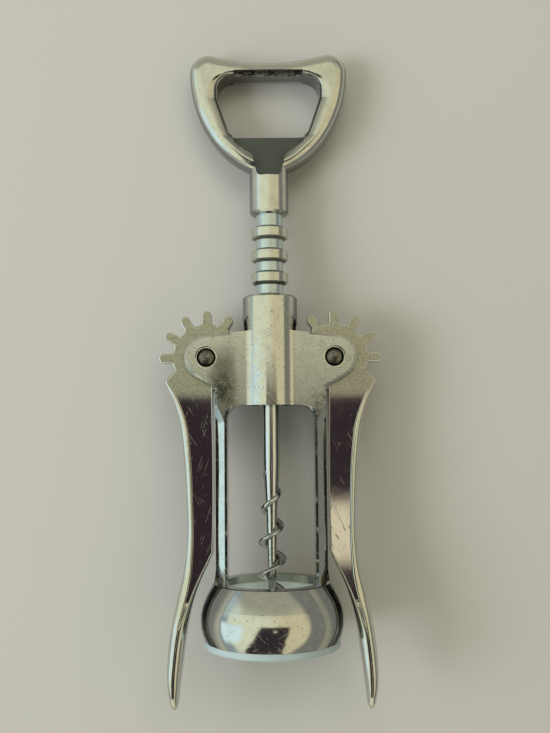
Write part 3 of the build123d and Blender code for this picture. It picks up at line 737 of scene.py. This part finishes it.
def lever_arm():
    """Sections square to Y. Each front half goes from the inner wall over the rims to the outer wall,
    with rims as quarter ellipses and steps as smooth S curves, and the back half mirrors it in Z."""
    stretches = [np.linspace(*stretch)[1:] for stretch in ARM_STRETCHES]
    share = np.concatenate([[LEVER_TOP_SHARE]] + stretches)[:, None]
    outer, inner, depth, outer_rim, inner_rim, outer_drop, inner_drop, web = lever_sizes(share)
    quarter = np.radians(np.linspace(0, 90, RIM_STEPS))[None, :]
    step = np.linspace(0, 1, STEP_POINTS)[None, :]
    wall = np.array([[0.0, 0.5]])
    on_web = np.array([WEB_PLACES])
    step_width = np.minimum(STEP_WIDTH, (outer - inner - outer_rim - inner_rim) * STEP_WIDTH_LIMIT)
    web_left = inner + inner_rim + step_width
    web_right = outer - outer_rim - step_width
    across = [
        inner + 0 * wall,
        inner + inner_rim * (1 - np.cos(quarter)),
        inner + inner_rim + step_width * step[:, 1:],
        web_left + (web_right - web_left) * on_web,
        web_right + step_width * step[:, :-1],
        outer - outer_rim * (1 - np.sin(quarter)),
        outer + 0 * wall,
    ]
    height = [
        (depth - inner_drop) * wall,
        depth - inner_drop * (1 - np.sin(quarter)),
        depth - (depth - web) * s_step(step[:, 1:]),
        web + 0 * on_web,
        web + (depth - web) * s_step(step[:, :-1]),
        depth - outer_drop * (1 - np.cos(quarter)),
        (depth - outer_drop) * wall[:, ::-1],
    ]
    x = np.concatenate(across, axis=1)
    z = np.concatenate(height, axis=1)
    x = np.concatenate([x, x[:, -2:0:-1]], axis=1)
    z = np.concatenate([z, -z[:, -2:0:-1]], axis=1)
    y = PIVOT_Y - share * LEVER_LENGTH + 0 * x
    return np.stack([x, y, z], axis=-1)


arm_grid = lever_arm()
print("Lever arm:", arm_grid.shape[0], "sections of", arm_grid.shape[1], "points")

# %% [markdown]
# ## The lever's gear
#
# Seven round-ended teeth stand on half a gear wheel, which goes over into the arm without a step.
# Half a tooth is drawn as a quarter cap and a root fillet, with the wall between them, and the whole
# tooth is turned seven times round the pivot. Below the teeth the outline follows the arm, a little
# inside it. Every point of the outline is joined to the pivot hole by a line along which the section
# runs, so the whole wheel is again one grid, with its rim rolled over by a small radius.

# %% Gear wheel
GEAR_HALF = 2.4
PIN_HOLE_RADIUS = 2.65
TOOTH_HALF_WIDTH = 1.3
TOOTH_CAP_RADIUS = 11.7
TOOTH_TURNS = (0, 30, 60, 90, 120, 150, 180)
ROOT_RADIUS = 9.25
ROOT_FILLET = 0.9
ROOT_ARC = (197, 259)
GEAR_EDGE_ROUNDING = 0.42
PLATE_LOW_Y = 61.5
PLATE_INNER_TOP_Y = 66.5
PLATE_OUTER_TOP_Y = 73.9
PLATE_INNER_INSET = 0.2
PLATE_OUTER_INSET = 0.35
PLATE_CORNERS = (0.6, 0.5, 0.4)
PLATE_SINK = ((PLATE_LOW_Y, 0.985), (64.0, 0.990), (67.5, 1.0), (95.0, 1.0))
FACE_PLACES = (0.0, 0.15, 0.35, 0.55, 0.75, 0.9, 0.985)


def tooth_outline():
    """Half a tooth from its tip to the root, as (along, across): a quarter cap and a root fillet."""
    cap = np.radians(np.linspace(0, 90, 10))
    fillet_across = TOOTH_HALF_WIDTH + ROOT_FILLET
    fillet_along = math.sqrt((ROOT_RADIUS + ROOT_FILLET) ** 2 - fillet_across ** 2)
    turn = math.atan2(fillet_across, fillet_along)
    fillet = np.linspace(-math.pi / 2, -math.pi + turn, 8)
    cap_along = TOOTH_CAP_RADIUS + TOOTH_HALF_WIDTH * np.cos(cap)
    cap_across = TOOTH_HALF_WIDTH * np.sin(cap)
    along = np.concatenate([cap_along, fillet_along + ROOT_FILLET * np.cos(fillet)])
    across = np.concatenate([cap_across, fillet_across + ROOT_FILLET * np.sin(fillet)])
    return along, across


def arm_edge_x(y):
    """The arm's outer edge at y."""
    return lever_sizes((PIVOT_Y - y) / LEVER_LENGTH)[0]


def gear_outline():
    """The outline round the pivot as complex numbers, anticlockwise from the lowest tooth: teeth, root
    arc, the arm's inner edge, the plate's end and the arm's outer edge."""
    along, across = tooth_outline()
    tooth = np.concatenate([along[:0:-1] - 1j * across[:0:-1], along + 1j * across])
    turns = np.exp(1j * np.radians(TOOTH_TURNS))
    teeth = (tooth[None, :] * turns[:, None]).ravel()
    root = ROOT_RADIUS * np.exp(1j * np.radians(np.linspace(*ROOT_ARC, 24)))
    inner_corner, outer_corner, outer_start = PLATE_CORNERS
    inner_y = np.linspace(PLATE_INNER_TOP_Y, PLATE_LOW_Y, 10)
    inner_edge = (LEVER_INNER_X + PLATE_INNER_INSET) + 1j * inner_y
    end_outer_x = arm_edge_x(np.array([PLATE_LOW_Y]))[0] - outer_corner
    end = np.linspace(LEVER_INNER_X + inner_corner, end_outer_x, 14) + 1j * PLATE_LOW_Y
    outer_y = np.linspace(PLATE_LOW_Y + outer_start, PLATE_OUTER_TOP_Y, 30)
    outer_edge = (arm_edge_x(outer_y) - PLATE_OUTER_INSET) + 1j * outer_y
    plate = np.concatenate([inner_edge, end, outer_edge]) - (PIVOT_X + 1j * PIVOT_Y)
    return np.concatenate([teeth, root, plate])


def gear_wheel():
    """Lines from the pivot hole to the outline carry the section: hole wall, face, rolled rim, wall.
    Its height shrinks a little below the pivot, so that the web lies over the plate's end."""
    outline = gear_outline()
    tangent = np.roll(outline, -1) - np.roll(outline, 1)
    outward = -1j * tangent / np.abs(tangent)
    rim = np.radians(np.linspace(0, 90, 7))
    rolled = GEAR_EDGE_ROUNDING * (1 - np.sin(rim))[None, :]
    inset = outline[:, None] - outward[:, None] * rolled
    hole = (PIN_HOLE_RADIUS * outline / np.abs(outline))[:, None]
    face = hole + (inset[:, :1] - hole) * np.array([FACE_PLACES])
    flat = np.concatenate([hole, face, inset, outline[:, None]], axis=1)
    rim_height = GEAR_HALF - GEAR_EDGE_ROUNDING * (1 - np.cos(rim))
    face_height = np.full(len(FACE_PLACES), GEAR_HALF)
    height = np.concatenate([[0.0], face_height, rim_height, [0.0]])
    flat = np.concatenate([flat, flat[:, -2:0:-1]], axis=1)
    height = np.concatenate([height, -height[-2:0:-1]])[None, :] + 0 * flat.real
    y = flat.imag + PIVOT_Y
    sink = smooth_curve(y, PLATE_SINK)
    return np.stack([flat.real + PIVOT_X, y, height * sink], axis=-1)


gear_grid = gear_wheel()
right_grids = [(arm_grid, False), (gear_grid, True)]
left_grids = [(grid * (-1.0, 1.0, 1.0), closed) for grid, closed in right_grids]
lever_look = ("plated_lever", LEVER_METAL)
right = piece_from_grids("right_lever_casting", right_grids, "right_lever", *lever_look)
left = piece_from_grids("left_lever_casting", left_grids, "left_lever", *lever_look)
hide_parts("right_lever")
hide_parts("left_lever")

# %% [markdown]
# ## The worm
#
# The worm is a round rod that thins towards the point, with a thread rolled up from it. The thread
# leans on the rod with a broad foot and ends in a rounded edge, thick near the shank and thin at
# the point. It could be swept as a curve object, but its section changes all the way, so it is a
# half ellipse carried up a helix.

# %% Worm
WORM_TIP_Y = 6.825
WORM_TOP_Y = 70.0
WORM_PITCH = 8.9
WORM_CROSSING_Y = 38.4
ROD_RADIUS = (
    (0, 0.12), (4, 0.7), (8, 1.0), (16, 1.2), (24, 1.42), (31, 1.68), (36, 1.98), (41, 2.24),
    (44, 2.3), (47, 2.3), (64, 2.3),
)
THREAD_REACH = (
    (0, 0.3), (3, 2.6), (8, 3.95), (16, 3.95), (24, 3.45), (30, 2.95), (35, 2.65), (39.5, 2.32),
)
THREAD_HALF_WIDTH = ((0, 0.12), (8, 0.55), (16, 0.66), (24, 0.80), (32, 0.85), (39.5, 0.5))
THREAD_START = 0.2
THREAD_TOP = 39.5
THREAD_FOOT = 0.75
THREAD_FULLNESS = 0.6
FRONT = math.radians(270)


def worm_core():
    """Circles round the Y axis, their radius a smooth curve of the height above the point."""
    height = np.linspace(0, WORM_TOP_Y - WORM_TIP_Y, 190)[:, None]
    radius = smooth_curve(height, ROD_RADIUS)
    turn = np.radians(np.arange(0, 360, 6))[None, :]
    y = WORM_TIP_Y + height + 0 * turn
    return np.stack([radius * np.cos(turn), y, radius * np.sin(turn)], axis=-1)


def worm_thread():
    """A half ellipse in the plane through the axis, carried up the helix. Its reach and width change
    with the height above the point, and it crosses the front at the crossing height."""
    height = np.linspace(THREAD_START, THREAD_TOP, 330)[:, None]
    reach = smooth_curve(height, THREAD_REACH)
    foot = THREAD_FOOT * smooth_curve(height, ROD_RADIUS)
    around = np.radians(np.linspace(-90, 90, 21))[None, :]
    radius = foot + (reach - foot) * np.abs(np.cos(around)) ** THREAD_FULLNESS
    axial = smooth_curve(height, THREAD_HALF_WIDTH) * np.sin(around)
    turns = (height + WORM_TIP_Y - WORM_CROSSING_Y) / WORM_PITCH
    angle = FRONT + 2 * math.pi * turns
    y = np.maximum(WORM_TIP_Y + height + axial, WORM_TIP_Y)
    return np.stack([radius * np.cos(angle), y, -radius * np.sin(angle)], axis=-1)


worm_grids = [(worm_core(), False), (worm_thread(), False)]
worm_piece = piece_from_grids("worm_screw", worm_grids, "handle", "worm_steel", finishes["worm"])
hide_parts("worm")

# %% [markdown]
# ## The floor
#
# The corkscrew lies on its back, so it touches the floor with the belly of the bell and with the
# back of the grip. The bell is much thicker than the grip, so the floor slopes up towards the grip
# when the screw is kept level. The slope follows from the two places of contact. The floor is wide
# enough that its corners don't show from low viewpoints.

# %% Floor
BELL_BELLY_Y = 7.2 * MM
GRIP_CONTACT_Y = 159.5 * MM
GRIP_HALF_DEPTH = 4.4 * MM
FLOOR_GAP = 0.05 * MM
FLOOR_HALF_SIZE = 8.0
FLOOR_ROUGHNESS = 0.85
PALE = (0.54, 0.52, 0.49, 1)

bell_radius = -cad_box[0][2]
rise = (bell_radius - GRIP_HALF_DEPTH) / (GRIP_CONTACT_Y - BELL_BELLY_Y)


def floor_height(y):
    """Height of the sloping floor at y: the line through the two places of contact."""
    return -bell_radius - FLOOR_GAP + rise * (y - BELL_BELLY_Y)


def make_floor():
    """A square whose four corners lie on that line, centred below the middle of the corkscrew."""
    side = np.array([-1.0, 1.0]) * FLOOR_HALF_SIZE
    x, y = np.meshgrid(side, side + GRIP_CONTACT_Y / 2)
    points = np.stack([x, y, floor_height(y)], axis=-1).reshape(-1, 3)
    mesh = bpy.data.meshes.new("floor")
    mesh.from_pydata(points.tolist(), [], [(0, 1, 3, 2)])
    floor = bpy.data.objects.new("floor", mesh)
    bpy.context.scene.collection.objects.link(floor)
    finish = Finish("floor_pale")
    finish.set(Base_Color=PALE, Roughness=FLOOR_ROUGHNESS)
    mesh.materials.append(finish.material)


make_floor()
print("Floor slope:", round(math.degrees(math.atan(rise)), 2), "degrees")

# %% [markdown]
# ## Light
#
# Chrome shows nothing but its surroundings, so the studio is part of the finish. A soft cool
# window stands low on the left, a warm ceiling covers the top, plain walls stand on the other
# sides, and a dark flag hangs over the near side, as it does in studios that photograph cutlery.
# The flag has a small gap, through which light falls. Painted panels could stand round the object,
# but the sky needs no geometry: its colour is worked out from the direction that a ray takes. Two
# area lamps add the soft shadows, and don't show in the chrome themselves.

# %% Studio sky
CEILING_LEFT = (0.90, 0.95, 0.76, 1)
CEILING_RIGHT = (0.76, 0.71, 0.50, 1)
FAR_WALL = (0.42, 0.43, 0.36, 1)
LEFT_WALL = (0.32, 0.42, 0.48, 1)
RIGHT_WALL = (0.23, 0.24, 0.22, 1)
WINDOW = (0.85, 1.12, 1.24, 1)
FLAG = (0.042, 0.032, 0.040, 1)
GAP = (1.0, 0.96, 0.72, 1)


class Sky(Finish):
    """The world's nodes, made the same way as a material's."""

    def __init__(self, world):
        world.use_nodes = True
        self.tree = world.node_tree
        self.shader = self.tree.nodes["Background"]


def flag_mask(sky, direction, x, y, z):
    """A leaning panel in front of the ceiling, its borders wavy with noise."""
    wobble = sky.noise(direction, 3.0, detail=2.0) - 0.5
    middle = x - 0.07 - y * 0.30 + wobble * 0.12
    top = (y + wobble * 0.05).ramp(0.085, 0.035)
    return top * y.ramp(-0.92, -0.80) * middle.size().ramp(0.44, 0.36) * z.ramp(0.25, 0.40)


def studio_sky():
    """The ceiling's colour with the walls, the window and the flag laid over it one by one."""
    world = bpy.data.worlds.new("studio")
    bpy.context.scene.world = world
    sky = Sky(world)
    direction = sky.node("ShaderNodeTexCoord", output="Generated")
    x, y, z = sky.parts(direction)
    colour = sky.mix(x.ramp(-0.25, 0.35), CEILING_LEFT, CEILING_RIGHT)
    colour = sky.mix(y.ramp(0.32, 0.62), colour, FAR_WALL)
    colour = sky.mix(x.ramp(0.20, 0.45) * z.ramp(0.54, 0.42), colour, RIGHT_WALL)
    colour = sky.mix(x.ramp(-0.50, -0.75) * z.ramp(0.34, 0.14), colour, LEFT_WALL)
    low_window = y.ramp(-0.60, -0.40) * y.ramp(0.11, 0.01) * z.ramp(0.00, 0.08)
    high_window = y.ramp(0.16, 0.30) * y.ramp(0.70, 0.50)
    window = x.ramp(-0.66, -0.80) * (low_window + high_window * 0.35)
    colour = sky.mix(window, colour, WINDOW)
    gap = x.near(0.078, 0.03, 0.05) * y.near(-0.107, 0.024, 0.044)
    flag = sky.mix(gap, FLAG, GAP)
    colour = sky.mix(flag_mask(sky, direction, x, y, z), colour, flag)
    sky.set(Color=colour, Strength=1.0)


studio_sky()
print("Sky made")

# %% Lamps
LAMP_TARGET = (0.0, 75 * MM, 0.0)


def soft_box(name, place, width, height, power, colour):
    """A rectangular area lamp in metres and watts, aimed at the middle of the corkscrew."""
    light = bpy.data.lights.new(name, "AREA")
    light.shape = "RECTANGLE"
    light.size = width
    light.size_y = height
    light.energy = power
    light.color = colour
    lamp = bpy.data.objects.new(name, light)
    aim = Vector(LAMP_TARGET) - Vector(place)
    lamp.location = place
    lamp.rotation_euler = aim.to_track_quat("-Z", "Y").to_euler()
    lamp.visible_glossy = False
    bpy.context.scene.collection.objects.link(lamp)


soft_box("window", (-0.75, -0.05, 0.55), width=0.50, height=0.40, power=4.5, colour=(0.90, 0.96, 1.0))
soft_box("ceiling", (0.10, 0.62, 0.82), width=0.60, height=0.40, power=2.5, colour=(1.0, 0.97, 0.90))

# %% [markdown]
# ## The camera
#
# The photograph was taken from 241 mm above the screw's axis, a little below the middle of the
# corkscrew, and looks up towards the grip by 4.6 degrees, with half a degree of roll. The lens has
# a focal length of 877 pixels in a picture 733 pixels high. These values were fitted to the places
# of the bell, the pivots and the grip in the photograph.

# %% Camera
CAMERA_X = 1.1 * MM
CAMERA_Y = 55.85 * MM
CAMERA_HEIGHT = 240.6 * MM
CAMERA_PITCH = math.radians(4.55)
CAMERA_ROLL = math.radians(-0.49)
FOCAL_PIXELS = 877.3
PICTURE_HEIGHT_PIXELS = 733
SENSOR = 36.0
NEAREST = 0.01

camera_data = bpy.data.cameras.new("camera")
camera_data.sensor_fit = "AUTO"
camera_data.sensor_width = SENSOR
camera_data.lens = SENSOR * FOCAL_PIXELS / PICTURE_HEIGHT_PIXELS
camera_data.clip_start = NEAREST
camera = bpy.data.objects.new("camera", camera_data)
camera.location = (CAMERA_X, CAMERA_Y, CAMERA_HEIGHT)
camera.rotation_euler = (CAMERA_PITCH, 0.0, CAMERA_ROLL)
bpy.context.scene.collection.objects.link(camera)
bpy.context.scene.camera = camera
bpy.context.scene.view_settings.view_transform = "Standard"
print("Lens:", round(camera_data.lens, 2), "mm")
